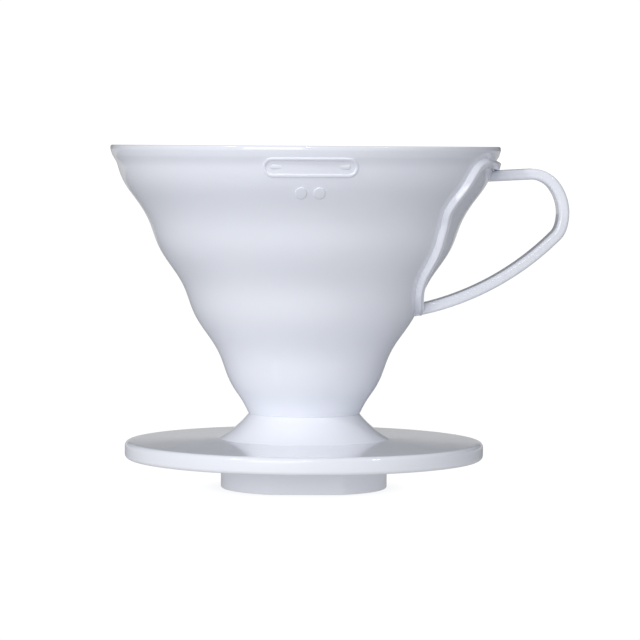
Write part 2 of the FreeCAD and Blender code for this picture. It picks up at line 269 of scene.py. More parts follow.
def settled(name, mesh, material):
    """Closed shell, faces outwards, smooth but for real corners, in the scene."""
    work = bmesh.new()
    work.from_mesh(mesh)
    bmesh.ops.recalc_face_normals(work, faces=work.faces)
    if work.calc_volume(signed=True) < 0:
        bmesh.ops.reverse_faces(work, faces=work.faces)
    volume = work.calc_volume()
    open_edges = sum(1 for edge in work.edges if not edge.is_manifold)
    work.to_mesh(mesh)
    work.free()
    mesh.name = name
    mesh.shade_smooth()
    mesh.set_sharp_from_angle(angle=SMOOTH_ANGLE)
    if not mesh.materials:
        mesh.materials.append(material)
    piece = bpy.data.objects.new(name, mesh)
    scene.collection.objects.link(piece)
    print(f"{name}: {len(mesh.polygons)} faces, {volume * 1e6:.2f} cm3, {open_edges} open edges")
    return piece


def stands_for(piece, *nodes):
    """Ride the one body and hide the CAD nodes."""
    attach(piece, "root")
    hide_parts(*nodes)


# %% [markdown]
# ## Turned pieces
# The collar, saucer, spout and lip are all bodies of revolution, as the lathe that cut their
# moulds would make them. An outline is a few corners in (radius, height), each with its own
# rounding, and a long hollow curve is an arc with a given sag. One function spins any outline.

# %% Outlines and the lathe
SEGMENTS = 288
CORNER_STEPS = 5


def rounded(corners):
    """Closed outline through (radius, height, rounding) corners, the roundings as arcs."""
    points = []
    for i, (r, z, bend) in enumerate(corners):
        here = Vector((r, z))
        if bend == 0:
            points.append(here)
            continue
        back = (Vector(corners[i - 1][:2]) - here).normalized()
        on = (Vector(corners[(i + 1) % len(corners)][:2]) - here).normalized()
        half = back.angle(on) / 2
        hub = here + (back + on).normalized() * (bend / math.sin(half))
        first = here + back * (bend / math.tan(half)) - hub
        last = here + on * (bend / math.tan(half)) - hub
        sweep = first.angle_signed(last)
        for step in range(CORNER_STEPS + 1):
            turn = Matrix.Rotation(-sweep * step / CORNER_STEPS, 2)
            points.append(hub + turn @ first)
    return points


def hollow(start, end, sag, steps=14):
    """Corners along an arc from start to end that sags to the right of the way by sag."""
    a, b = Vector(start), Vector(end)
    chord = b - a
    side = Vector((chord.y, -chord.x)).normalized()
    return [(*(a + chord * t + side * (4 * sag * t * (1 - t))), 0.0)
            for t in (i / steps for i in range(1, steps))]


def lathe(name, outline, material, closed=True):
    """Spin (radius, height) points round the Z axis."""
    count = len(outline)
    points = [(p[0] * math.cos(turn), p[0] * math.sin(turn), p[1])
              for turn in (FULL_TURN * i / SEGMENTS for i in range(SEGMENTS)) for p in outline]
    faces = []
    for i in range(SEGMENTS):
        here, there = i * count, ((i + 1) % SEGMENTS) * count
        for k in range(count if closed else count - 1):
            k2 = (k + 1) % count
            faces.append((here + k, there + k, there + k2, here + k2))
    mesh = bpy.data.meshes.new(name)
    mesh.from_pydata(points, [], faces)
    return settled(name, mesh, material) if closed else mesh


# %% [markdown]
# ## The cone's wall
# The wall's outside follows a rule, so Geometry Nodes make it: a flat grid whose X is the turn
# round the axis and whose Y is the height. Each row is moved out to the wavy radius and wrapped
# round the axis. The wave formula is a small node group of its own, because the handle's frame
# and the raised marks have to sit on the same waves.

# %% Node group: radius of the wavy wall at a height
rule = bpy.data.node_groups.new("wavy_radius", "GeometryNodeTree")
for label, value in (("Height", 0.0), ("Mouth radius", WALL_TOP_RADIUS),
                     ("Neck radius", NECK_RADIUS), ("Wave pitch", WAVE_PITCH),
                     ("Wave depth", WAVE_DEPTH), ("Crest extra", CREST_EXTRA)):
    rule.interface.new_socket(label, in_out="INPUT",
                              socket_type="NodeSocketFloat").default_value = value
rule.interface.new_socket("Radius", in_out="OUTPUT", socket_type="NodeSocketFloat")
given = add(rule, "NodeGroupInput").outputs
straight = add(rule, "ShaderNodeMapRange",
               {"Value": given["Height"], "From Min": NECK_Z, "From Max": LIP_BOTTOM_Z,
                "To Min": given["Neck radius"], "To Max": given["Mouth radius"]}, clamp=False)
below = add(rule, "ShaderNodeMath", {0: given["Height"], 1: FIRST_CREST}, operation="SUBTRACT")
phase = add(rule, "ShaderNodeMath", {0: below.outputs[0], 1: given["Wave pitch"]},
            operation="DIVIDE")
turns = add(rule, "ShaderNodeMath", {0: phase.outputs[0], 1: FULL_TURN}, operation="MULTIPLY")
wave = add(rule, "ShaderNodeMath", {0: turns.outputs[0]}, operation="COSINE")
fuller = add(rule, "ShaderNodeMapRange",
             {"Value": given["Height"], "From Min": FIRST_CREST - WAVE_PITCH / 2,
              "From Max": FIRST_CREST, "To Min": 0.0, "To Max": given["Crest extra"]},
             interpolation_type="SMOOTHSTEP")
depth = add(rule, "ShaderNodeMath", {0: fuller.outputs[0], 1: given["Wave depth"]},
            operation="ADD")
fade_in = add(rule, "ShaderNodeMapRange",
              {"Value": given["Height"], "From Min": NECK_Z, "From Max": NECK_Z + FADE_IN},
              interpolation_type="SMOOTHSTEP")
fade_out = add(rule, "ShaderNodeMapRange",
               {"Value": given["Height"], "From Min": LIP_BOTTOM_Z - FADE_OUT,
                "From Max": LIP_BOTTOM_Z, "To Min": 1.0, "To Max": 0.0},
               interpolation_type="SMOOTHSTEP")
fades = add(rule, "ShaderNodeMath", {0: fade_in.outputs[0], 1: fade_out.outputs[0]},
            operation="MULTIPLY")
swell = add(rule, "ShaderNodeMath", {0: depth.outputs[0], 1: fades.outputs[0]},
            operation="MULTIPLY")
radius = add(rule, "ShaderNodeMath",
             {0: swell.outputs[0], 1: wave.outputs[0], 2: straight.outputs[0]},
             operation="MULTIPLY_ADD")
add(rule, "NodeGroupOutput", {"Radius": radius.outputs[0]})
print("wavy_radius:", len(rule.nodes), "nodes")

# %% Tree: the wavy wall
WALL_ROWS = 128
wall_sizes = {"Segments": SEGMENTS, "Rows": WALL_ROWS, "Mouth radius": WALL_TOP_RADIUS,
              "Neck radius": NECK_RADIUS, "Neck height": NECK_Z, "Lip height": LIP_BOTTOM_Z,
              "Wave pitch": WAVE_PITCH, "Wave depth": WAVE_DEPTH}
wall_tree, size = new_tree("wavy_wall", wall_sizes)
tall = add(wall_tree, "ShaderNodeMath", {0: size["Lip height"], 1: size["Neck height"]},
           operation="SUBTRACT")
columns = add(wall_tree, "FunctionNodeIntegerMath", {0: size["Segments"], 1: 1},
              operation="ADD")
sheet = add(wall_tree, "GeometryNodeMeshGrid",
            {"Size X": FULL_TURN, "Size Y": tall.outputs[0],
             "Vertices X": columns.outputs[0], "Vertices Y": size["Rows"]})
spot = add(wall_tree, "ShaderNodeSeparateXYZ",
           {0: add(wall_tree, "GeometryNodeInputPosition").outputs[0]})
share = add(wall_tree, "ShaderNodeMath", {0: spot.outputs["Y"], 1: tall.outputs[0]},
            operation="DIVIDE")
share_up = add(wall_tree, "ShaderNodeMath", {0: share.outputs[0], 1: 0.5}, operation="ADD")
up = add(wall_tree, "ShaderNodeMath",
         {0: share_up.outputs[0], 1: tall.outputs[0], 2: size["Neck height"]},
         operation="MULTIPLY_ADD")
out = add(wall_tree, "GeometryNodeGroup", node_tree=rule)
for label in ("Mouth radius", "Neck radius", "Wave pitch", "Wave depth"):
    wall_tree.links.new(size[label], out.inputs[label])
wall_tree.links.new(up.outputs[0], out.inputs["Height"])
flat_spot = add(wall_tree, "ShaderNodeCombineXYZ",
                {"X": out.outputs["Radius"], "Z": up.outputs[0]})
wrapped = add(wall_tree, "ShaderNodeVectorRotate",
              {"Vector": flat_spot.outputs[0], "Angle": spot.outputs["X"]},
              rotation_type="Z_AXIS")
bent = add(wall_tree, "GeometryNodeSetPosition",
           {"Geometry": sheet.outputs["Mesh"], "Position": wrapped.outputs[0]})
close_tree(wall_tree, bent.outputs[0], size["Material"])
outside = grown("wall_outside", bpy.data.meshes.new("seed"), wall_tree, POLISHED, wall_sizes)

# %% [markdown]
# The lip and the smooth inner cone are turned, with the same number of segments, and welded to
# the wavy outside. The result is one closed shell: outside, a short flare to the rounded lip,
# inside, and a narrow ring at the neck where the base takes over. The outside is polished and
# the inside is satin.

# %% Cone wall
FLARE_TOP_Z = 100.8 * MM
FLARE_ROUND = 0.7 * MM
LIP_EDGE_ROUND = LIP_ROUND * 0.6
MOUTH_ROUND = 4 * MM        # where the lip's inside runs into the inner cone
inner_neck = NECK_RADIUS - NECK_WALL
lip = rounded([(NECK_RADIUS, NECK_Z, 0.0), (WALL_TOP_RADIUS, LIP_BOTTOM_Z, 0.0),
               (MOUTH_RADIUS, FLARE_TOP_Z, FLARE_ROUND), (MOUTH_RADIUS, HEIGHT, LIP_EDGE_ROUND),
               (MOUTH_INNER, HEIGHT, LIP_ROUND), (MOUTH_INNER, LIP_BOTTOM_Z, MOUTH_ROUND),
               (inner_neck, NECK_Z, 0.0)])
rest = lathe("rest_of_wall", lip[1:] + lip[:1], POLISHED, closed=False)
shell = bmesh.new()
shell.from_mesh(outside.data)
shell.from_mesh(rest)
bmesh.ops.remove_doubles(shell, verts=shell.verts, dist=0.01 * MM)
shell_mesh = bpy.data.meshes.new("cone_wall")
shell.to_mesh(shell_mesh)
shell.free()
bpy.data.objects.remove(outside)
cone = settled("cone_shell", shell_mesh, POLISHED)
cone.data.materials.append(SATIN)
for face in cone.data.polygons:
    inward = face.normal.x * face.center.x + face.normal.y * face.center.y < 0
    face.material_index = 1 if inward else 0
stands_for(cone, "cone_wall")

# %% [markdown]
# ## Spiral ribs
# Twelve long ribs run from under the lip to the outlet and twelve short ones stop halfway. They
# hold the paper off the wall so that air and coffee can pass. A rib that keeps the same lean to
# the slope is a spiral whose turn grows with the logarithm of the radius. One rib is a grid: X is
# the way down, Y goes round its section. It is instanced round the axis by one tree.

# %% Tree: spiral ribs
rib_sizes = {"Count": 12, "Start turn": 0.0, "Top height": 97.0 * MM, "End height": 18.6 * MM,
             "Rib height": 1.8 * MM, "Rib width": 1.7 * MM, "Taper": 0.35, "Run out": 0.02,
             "Sink": 0.3 * MM, "Lean": math.radians(22.0), "Mouth inside": MOUTH_INNER,
             "Wall slope": INNER_SLOPE, "Lip height": LIP_BOTTOM_Z}
rib_tree, size = new_tree("spiral_ribs", rib_sizes)
RIB_STATIONS = 97
RIB_AROUND = 17
CROWN_POWER = 0.7           # below 1 the crown is fuller than a sine
strip = add(rib_tree, "GeometryNodeMeshGrid",
            {"Size X": 1.0, "Size Y": FULL_TURN, "Vertices X": RIB_STATIONS,
             "Vertices Y": RIB_AROUND})
spot = add(rib_tree, "ShaderNodeSeparateXYZ",
           {0: add(rib_tree, "GeometryNodeInputPosition").outputs[0]})
way = add(rib_tree, "ShaderNodeMath", {0: spot.outputs["X"], 1: 0.5}, operation="ADD")
up = add(rib_tree, "ShaderNodeMapRange", {"Value": way.outputs[0], "To Min": size["Top height"],
                                          "To Max": size["End height"]})
top_gap = add(rib_tree, "ShaderNodeMath", {0: size["Top height"], 1: size["Lip height"]},
              operation="SUBTRACT")
top_radius = add(rib_tree, "ShaderNodeMath",
                 {0: top_gap.outputs[0], 1: size["Wall slope"], 2: size["Mouth inside"]},
                 operation="MULTIPLY_ADD")
gap = add(rib_tree, "ShaderNodeMath", {0: up.outputs[0], 1: size["Lip height"]},
          operation="SUBTRACT")
radius = add(rib_tree, "ShaderNodeMath",
             {0: gap.outputs[0], 1: size["Wall slope"], 2: size["Mouth inside"]},
             operation="MULTIPLY_ADD")
shrink = add(rib_tree, "ShaderNodeMath", {0: top_radius.outputs[0], 1: radius.outputs[0]},
             operation="DIVIDE")
spiral = add(rib_tree, "ShaderNodeMath", {0: shrink.outputs[0], 1: math.e},
             operation="LOGARITHM")
lean = add(rib_tree, "ShaderNodeMath", {0: size["Lean"]}, operation="TANGENT")
slope = add(rib_tree, "ShaderNodeMath", {0: size["Wall slope"]}, operation="ARCTANGENT")
slope_sine = add(rib_tree, "ShaderNodeMath", {0: slope.outputs[0]}, operation="SINE")
slope_cosine = add(rib_tree, "ShaderNodeMath", {0: slope.outputs[0]}, operation="COSINE")
tightness = add(rib_tree, "ShaderNodeMath", {0: lean.outputs[0], 1: slope_sine.outputs[0]},
                operation="DIVIDE")
turn = add(rib_tree, "ShaderNodeMath", {0: spiral.outputs[0], 1: tightness.outputs[0]},
           operation="MULTIPLY")
rise = add(rib_tree, "ShaderNodeMapRange",
           {"Value": way.outputs[0], "From Max": size["Run out"]},
           interpolation_type="SMOOTHSTEP")
left = add(rib_tree, "ShaderNodeMath", {0: 1.0, 1: way.outputs[0]}, operation="SUBTRACT")
fall = add(rib_tree, "ShaderNodeMapRange",
           {"Value": left.outputs[0], "From Max": size["Run out"]},
           interpolation_type="SMOOTHSTEP")
ends = add(rib_tree, "ShaderNodeMath", {0: rise.outputs[0], 1: fall.outputs[0]},
           operation="MULTIPLY")
loss = add(rib_tree, "ShaderNodeMath", {0: way.outputs[0], 1: size["Taper"]},
           operation="MULTIPLY")
kept = add(rib_tree, "ShaderNodeMath", {0: 1.0, 1: loss.outputs[0]}, operation="SUBTRACT")
girth = add(rib_tree, "ShaderNodeMath", {0: ends.outputs[0], 1: kept.outputs[0]},
            operation="MULTIPLY")
across = add(rib_tree, "ShaderNodeMath", {0: spot.outputs["Y"]}, operation="COSINE")
wide = add(rib_tree, "ShaderNodeMath", {0: across.outputs[0], 1: size["Rib width"]},
           operation="MULTIPLY")
aside = add(rib_tree, "ShaderNodeMath", {0: wide.outputs[0], 1: girth.outputs[0]},
            operation="MULTIPLY")
half_aside = add(rib_tree, "ShaderNodeMath", {0: aside.outputs[0], 1: 0.5},
                 operation="MULTIPLY")
crown = add(rib_tree, "ShaderNodeMath", {0: spot.outputs["Y"]}, operation="SINE")
above_wall = add(rib_tree, "ShaderNodeMath", {0: crown.outputs[0], 1: 0.0}, operation="MAXIMUM")
full = add(rib_tree, "ShaderNodeMath", {0: above_wall.outputs[0], 1: CROWN_POWER},
           operation="POWER")
proud = add(rib_tree, "ShaderNodeMath", {0: full.outputs[0], 1: size["Rib height"]},
            operation="MULTIPLY")
rooted = add(rib_tree, "ShaderNodeMath", {0: proud.outputs[0], 1: size["Sink"]},
             operation="SUBTRACT")
inward = add(rib_tree, "ShaderNodeMath", {0: rooted.outputs[0], 1: girth.outputs[0]},
             operation="MULTIPLY")
back = add(rib_tree, "ShaderNodeMath", {0: inward.outputs[0], 1: slope_cosine.outputs[0]},
           operation="MULTIPLY")
nearer = add(rib_tree, "ShaderNodeMath", {0: radius.outputs[0], 1: back.outputs[0]},
             operation="SUBTRACT")
higher = add(rib_tree, "ShaderNodeMath",
             {0: inward.outputs[0], 1: slope_sine.outputs[0], 2: up.outputs[0]},
             operation="MULTIPLY_ADD")
flat_spot = add(rib_tree, "ShaderNodeCombineXYZ",
                {"X": nearer.outputs[0], "Y": half_aside.outputs[0], "Z": higher.outputs[0]})
turned = add(rib_tree, "ShaderNodeVectorRotate",
             {"Vector": flat_spot.outputs[0], "Angle": turn.outputs[0]}, rotation_type="Z_AXIS")
one_rib = add(rib_tree, "GeometryNodeSetPosition",
              {"Geometry": strip.outputs["Mesh"], "Position": turned.outputs[0]})
stops = add(rib_tree, "GeometryNodePoints", {"Count": size["Count"]})
step = add(rib_tree, "ShaderNodeMath", {0: FULL_TURN, 1: size["Count"]}, operation="DIVIDE")
dial = add(rib_tree, "ShaderNodeMath",
           {0: add(rib_tree, "GeometryNodeInputIndex").outputs[0], 1: step.outputs[0],
            2: size["Start turn"]}, operation="MULTIPLY_ADD")
facing = add(rib_tree, "ShaderNodeCombineXYZ", {"Z": dial.outputs[0]})
ring_of_ribs = add(rib_tree, "GeometryNodeInstanceOnPoints",
                   {"Points": stops.outputs[0], "Instance": one_rib.outputs[0],
                    "Rotation": facing.outputs[0]})
close_tree(rib_tree, ring_of_ribs.outputs[0], size["Material"])
long_ribs = grown("long_spiral_ribs", bpy.data.meshes.new("seed"), rib_tree, SATIN, rib_sizes)
stands_for(long_ribs, "long_ribs")
rib_sizes.update({"Start turn": math.pi / 12, "End height": 58.0 * MM, "Run out": 0.05})
short_ribs = grown("short_spiral_ribs", bpy.data.meshes.new("seed"), rib_tree, SATIN, rib_sizes)
stands_for(short_ribs, "short_ribs")

# %% [markdown]
# ## Spout, collar and saucer
# All turned. The spout is the cone's lower end: it plugs into the collar and its tip ends in the
# large outlet. The collar flares from the sharp joint at the neck down to the saucer in a hollow
# curve, and a fine bevel on its upper edge leaves a hairline where the two mouldings meet. The
# saucer's top falls away slightly towards its edge, which is turned down and rounded.

# %% Spout
OUTLET_RADIUS = 9.75 * MM
SPOUT_BOTTOM_Z = 10.4 * MM
SPOUT_WALL = 2.1 * MM
COLLAR_WALL = 2.0 * MM
SOCKET_END_Z = 17.3 * MM
SPIGOT_CLEARANCE = 0.1 * MM
spigot_radius = NECK_RADIUS - COLLAR_WALL - SPIGOT_CLEARANCE
cone_end_z = LIP_BOTTOM_Z - (MOUTH_INNER - OUTLET_RADIUS) / INNER_SLOPE
spout = lathe("spout_tip", rounded([
    (inner_neck, NECK_Z, 0.0), (OUTLET_RADIUS, cone_end_z, 1.0 * MM),
    (OUTLET_RADIUS, SPOUT_BOTTOM_Z, 0.6 * MM),
    (OUTLET_RADIUS + SPOUT_WALL, SPOUT_BOTTOM_Z, 0.6 * MM),
    (spigot_radius, SOCKET_END_Z, 0.5 * MM), (spigot_radius, NECK_Z, 0.0)]), SATIN)
stands_for(spout, "outlet_spout")

# %% Collar
JOINT_BEVEL = 0.18 * MM
COLLAR_RADIUS = 25.5 * MM
COLLAR_SAG = 0.6 * MM
PLATE_TOP_Z = 13.9 * MM
PLATE_RISE = 0.9 * MM
PLATE_UNDER_Z = 11.6 * MM
SOCKET_SHOULDER = COLLAR_WALL * 1.6     # from the neck down to where the wall turns inwards
socket = NECK_RADIUS - COLLAR_WALL
neck = (NECK_RADIUS, NECK_Z - JOINT_BEVEL)
toe = (COLLAR_RADIUS, PLATE_TOP_Z + PLATE_RISE)
inner_toe = (COLLAR_RADIUS - COLLAR_WALL, PLATE_UNDER_Z)
inner_top = (NECK_RADIUS, NECK_Z - SOCKET_SHOULDER)
collar = lathe("flared_collar", rounded(
    [(NECK_RADIUS - JOINT_BEVEL, NECK_Z, 0.0), (*neck, 0.0)]
    + hollow(neck, toe, COLLAR_SAG)
    + [(*toe, 0.0), (COLLAR_RADIUS, PLATE_UNDER_Z, 0.0), (*inner_toe, 0.0)]
    + hollow(inner_toe, inner_top, -COLLAR_SAG)
    + [(*inner_top, 0.0), (NECK_RADIUS, SOCKET_END_Z, 0.4 * MM),
       (socket, SOCKET_END_Z, 0.4 * MM), (socket, NECK_Z, 0.0)]), POLISHED)
stands_for(collar, "base_collar")

# %% Saucer and its edge
PLATE_RADIUS = 53.5 * MM
EDGE_WALL = 2.2 * MM
EDGE_BOTTOM_Z = 8.8 * MM
EDGE_ROUND = 1.3 * MM
plate_fall = PLATE_RISE / (PLATE_RADIUS - EDGE_WALL - COLLAR_RADIUS)
edge_inner = PLATE_RADIUS - EDGE_WALL
plate = lathe("saucer_plate", rounded([
    (COLLAR_RADIUS, PLATE_UNDER_Z, 0.0), (edge_inner, PLATE_UNDER_Z, 0.0),
    (edge_inner, PLATE_TOP_Z, 0.0), (COLLAR_RADIUS, PLATE_TOP_Z + PLATE_RISE, 0.0)]), POLISHED)
stands_for(plate, "base_plate")
edge = lathe("saucer_edge", rounded([
    (edge_inner, EDGE_BOTTOM_Z, 0.5 * MM), (PLATE_RADIUS, EDGE_BOTTOM_Z, EDGE_ROUND),
    (PLATE_RADIUS, PLATE_TOP_Z - plate_fall * EDGE_WALL, EDGE_ROUND),
    (edge_inner, PLATE_TOP_Z, 0.0)]), POLISHED)
stands_for(edge, "plate_edge")

# %% [markdown]
# ## Locating ring
# The ring under the saucer drops inside a cup. It is round, with a flat at the front and at the
# back, and soft corners between. In polar form that is the smaller of the circle's radius and
# the flat's distance, blended by a power mean so that the corners come out rounded. The section
# is a wall with a rounded foot.

# %% Locating ring
RING_RADIUS = 24.8 * MM
RING_WALL = 2.0 * MM
RING_FLAT_CUT = 2.4 * MM
RING_TOP_Z = 12.8 * MM
RING_FOOT_ROUND = 0.5 * MM
CORNER_POWER = 90


def ring_radius(turn, inset):
    """Polar radius of the round outline with two flats, moved inwards by inset."""
    circle = RING_RADIUS - inset
    flat = (circle - RING_FLAT_CUT) / max(abs(math.sin(turn)), 1e-3)
    blend = (circle / flat) ** CORNER_POWER
    return circle / (1 + blend) ** (1 / CORNER_POWER)


section = rounded([(0.0, 0.0, RING_FOOT_ROUND), (RING_WALL, 0.0, RING_FOOT_ROUND),
                   (RING_WALL, RING_TOP_Z, 0.0), (0.0, RING_TOP_Z, 0.0)])
ring_points = []
ring_faces = []
RING_SEGMENTS = SEGMENTS * 2
for i in range(RING_SEGMENTS):
    turn = FULL_TURN * i / RING_SEGMENTS
    for inset, z in section:
        r = ring_radius(turn, inset)
        ring_points.append((r * math.cos(turn), r * math.sin(turn), z))
    here = i * len(section)
    there = (i + 1) % RING_SEGMENTS * len(section)
    for k in range(len(section)):
        k2 = (k + 1) % len(section)
        ring_faces.append((here + k, there + k, there + k2, here + k2))
ring_mesh = bpy.data.meshes.new("cup_ring")
ring_mesh.from_pydata(ring_points, [], ring_faces)
cup_ring = settled("cup_ring", ring_mesh, POLISHED)
stands_for(cup_ring, "locating_ring")

# %% [markdown]
# ## Handle strap
# The handle is a flat strap: a straight run out of the cone, three bends of different radii
# round the fingers, and one long shallow arc home. Its centre line is walked like a turtle: a
# heading, and for each bend a radius and a turn. The last arc is the one that leaves the third
# bend smoothly and lands on the foot. A tree then sweeps a rounded rectangle along it.

# %% Strap's centre line
STRAP_THICKNESS = 3.2 * MM
STRAP_WIDTH = 10.0 * MM
STRAP_ROUND = 1.0 * MM
STRAP_TOP_DROP = 8.75 * MM
STRAP_FOOT_Z = 53.0 * MM
STRAP_TOP_RUN = 12.0 * MM
STRAP_RISE = math.radians(3.1)
BENDS = ((8.6 * MM, math.radians(57)), (13.7 * MM, math.radians(54)),
         (6.5 * MM, math.radians(27)))
STEPS_PER_BEND = 24


def straight_radius(z):
    """Radius of the straight cone from neck to lip, which places the strap's two ends."""
    slope = (MOUTH_RADIUS - NECK_RADIUS) / (LIP_BOTTOM_Z - NECK_Z)
    return NECK_RADIUS + (z - NECK_Z) * slope


def bend(here, heading, radius, turn):
    """Points along an arc that turns downwards from here."""
    hub = here + Vector((math.sin(heading), -math.cos(heading))) * radius
    points = []
    for step in range(1, STEPS_PER_BEND + 1):
        h = heading - turn * step / STEPS_PER_BEND
        points.append(hub + Vector((-math.sin(h), math.cos(h))) * radius)
    return points


strap_z = HEIGHT - STRAP_TOP_DROP
heading = STRAP_RISE
here = Vector((straight_radius(strap_z) - LIP_WALL / 2, strap_z))
path = [here]
here = here + Vector((math.cos(heading), math.sin(heading))) * (STRAP_TOP_RUN + LIP_WALL / 2)
path.append(here)
for bend_radius, bend_turn in BENDS:
    path += bend(path[-1], heading, bend_radius, bend_turn)
    heading -= bend_turn
foot = Vector((straight_radius(STRAP_FOOT_Z) - LIP_WALL / 2, STRAP_FOOT_Z))
chord = foot - path[-1]
half_turn = (heading - math.atan2(chord.y, chord.x) + math.pi) % FULL_TURN - math.pi
last_radius = chord.length / (2 * math.sin(half_turn))
path += bend(path[-1], heading, last_radius, 2 * half_turn)
print("last arc:", round(last_radius / MM, 1), "mm, landing off by",
      round((path[-1] - foot).length / MM, 4), "mm")


# %% Curves for the trees
def drawn(name, points, closed=False, kind="POLY"):
    """Curve through 3D points, straight between them or as smooth Bezier arcs."""
    curve = bpy.data.curves.new(name, "CURVE")
    curve.dimensions = "3D"
    line = curve.splines.new(kind)
    line.use_cyclic_u = closed
    if kind == "POLY":
        line.points.add(len(points) - 1)
        for knot, point in zip(line.points, points):
            knot.co = (*point, 1.0)
    else:
        line.bezier_points.add(len(points) - 1)
        for knot, point in zip(line.bezier_points, points):
            knot.co = point
            knot.handle_left_type = knot.handle_right_type = "AUTO"
        line.resolution_u = 24
    return curve


# %% Tree: strap
strap_sizes = {"Width": STRAP_WIDTH, "Thickness": STRAP_THICKNESS, "Corner": STRAP_ROUND}
strap_tree, size = new_tree("strap", strap_sizes)
way = add(strap_tree, "GeometryNodeSetCurveNormal",
          {"Curve": size["Geometry"], "Normal": (0.0, 1.0, 0.0)}, mode="FREE")
bar = add(strap_tree, "GeometryNodeCurvePrimitiveQuadrilateral",
          {"Width": size["Width"], "Height": size["Thickness"]})
soft_bar = add(strap_tree, "GeometryNodeFilletCurve",
               {"Curve": bar.outputs[0], "Count": 6, "Radius": size["Corner"]}, mode="POLY")
swept = add(strap_tree, "GeometryNodeCurveToMesh",
            {"Curve": way.outputs[0], "Profile Curve": soft_bar.outputs[0], "Fill Caps": True})
close_tree(strap_tree, swept.outputs[0], size["Material"])
strap_line = drawn("strap_line", [(p.x, 0.0, p.y) for p in path])
strap = grown("strap_handle", strap_line, strap_tree, POLISHED, strap_sizes)
stands_for(strap, "handle_loop")

# %% [markdown]
# ## Raised beads on the wavy wall
# The handle grows out of a raised frame, a heart-shaped bead that wraps the side of the cone,
# and the front carries a thin bead in outline. Both follow a surface, so one tree does both: a
# flat outline drawn in the YZ plane is pushed along X until it lies on the wavy wall, its normals
# are set square to the wall, and a section with a wide foot and a rounded crown is swept along
# it. The root is sunk, so that no gap can open between bead and wall.

# %% Tree: bead on the wavy wall
bead_sizes = {"Spacing": 0.8 * MM, "Proud": 1.9 * MM, "Foot width": 2.9 * MM,
              "Crown width": 2.2 * MM, "Corner": 0.5 * MM, "Sink": 0.9 * MM, "Turn": 0.0}
bead_tree, size = new_tree("bead_on_wall", bead_sizes)
even = add(bead_tree, "GeometryNodeResampleCurve",
           {"Curve": size["Geometry"], "Length": size["Spacing"]}, mode="LENGTH")
spot = add(bead_tree, "ShaderNodeSeparateXYZ",
           {0: add(bead_tree, "GeometryNodeInputPosition").outputs[0]})
wall = add(bead_tree, "GeometryNodeGroup", {"Height": spot.outputs["Z"]}, node_tree=rule)
lower_z = add(bead_tree, "ShaderNodeMath", {0: spot.outputs["Z"], 1: MM}, operation="SUBTRACT")
lower = add(bead_tree, "GeometryNodeGroup", {"Height": lower_z.outputs[0]}, node_tree=rule)
widening = add(bead_tree, "ShaderNodeMath", {0: wall.outputs[0], 1: lower.outputs[0]},
               operation="SUBTRACT")
wall_slope = add(bead_tree, "ShaderNodeMath", {0: widening.outputs[0], 1: MM},
                 operation="DIVIDE")
square = add(bead_tree, "ShaderNodeMath", {0: wall.outputs[0], 1: 2.0}, operation="POWER")
side_square = add(bead_tree, "ShaderNodeMath",
                  {0: spot.outputs["Y"], 1: spot.outputs["Y"]}, operation="MULTIPLY")
depth_square = add(bead_tree, "ShaderNodeMath",
                   {0: square.outputs[0], 1: side_square.outputs[0]}, operation="SUBTRACT")
depth = add(bead_tree, "ShaderNodeMath", {0: depth_square.outputs[0]}, operation="SQRT")
on_wall = add(bead_tree, "ShaderNodeCombineXYZ",
              {"X": depth.outputs[0], "Y": spot.outputs["Y"], "Z": spot.outputs["Z"]})
laid = add(bead_tree, "GeometryNodeSetPosition",
           {"Geometry": even.outputs[0], "Position": on_wall.outputs[0]})
spot = add(bead_tree, "ShaderNodeSeparateXYZ",
           {0: add(bead_tree, "GeometryNodeInputPosition").outputs[0]})
fall = add(bead_tree, "ShaderNodeMath", {0: wall_slope.outputs[0], 1: wall.outputs[0]},
           operation="MULTIPLY")
down = add(bead_tree, "ShaderNodeMath", {0: fall.outputs[0], 1: -1.0}, operation="MULTIPLY")
outward = add(bead_tree, "ShaderNodeCombineXYZ",
              {"X": spot.outputs["X"], "Y": spot.outputs["Y"], "Z": down.outputs[0]})
faced = add(bead_tree, "GeometryNodeSetCurveNormal",
            {"Curve": laid.outputs[0], "Normal": outward.outputs[0]}, mode="FREE")
thick = add(bead_tree, "ShaderNodeMath", {0: size["Proud"], 1: size["Sink"]}, operation="ADD")
profile = add(bead_tree, "GeometryNodeCurvePrimitiveQuadrilateral",
              {"Height": thick.outputs[0], "Bottom Width": size["Foot width"],
               "Top Width": size["Crown width"], "Offset": 0.0}, mode="TRAPEZOID")
soft_profile = add(bead_tree, "GeometryNodeFilletCurve",
                   {"Curve": profile.outputs[0], "Count": 5, "Radius": size["Corner"],
                    "Limit Radius": True}, mode="POLY")
half_thick = add(bead_tree, "ShaderNodeMath", {0: thick.outputs[0], 1: 0.5},
                 operation="MULTIPLY")
lift = add(bead_tree, "ShaderNodeMath", {0: half_thick.outputs[0], 1: size["Sink"]},
           operation="SUBTRACT")
lifted = add(bead_tree, "ShaderNodeCombineXYZ", {"X": lift.outputs[0]})
stood = add(bead_tree, "GeometryNodeTransform",
            {"Geometry": soft_profile.outputs[0], "Translation": lifted.outputs[0],
             "Rotation": (0.0, 0.0, -math.pi / 2)})
swept = add(bead_tree, "GeometryNodeCurveToMesh",
            {"Curve": faced.outputs[0], "Profile Curve": stood.outputs[0], "Fill Caps": True})
spin = add(bead_tree, "ShaderNodeCombineXYZ", {"Z": size["Turn"]})
spun = add(bead_tree, "GeometryNodeTransform",
           {"Geometry": swept.outputs[0], "Rotation": spin.outputs[0]})
close_tree(bead_tree, spun.outputs[0], size["Material"])

# %% [markdown]
# The frame's centre line needs only a few points on one side: outwards under the lip from just
# above the strap's upper root, round the shoulder, in at the waist and down to the toe. The
# other side is its mirror image, and smooth Bezier arcs join them into one loop.

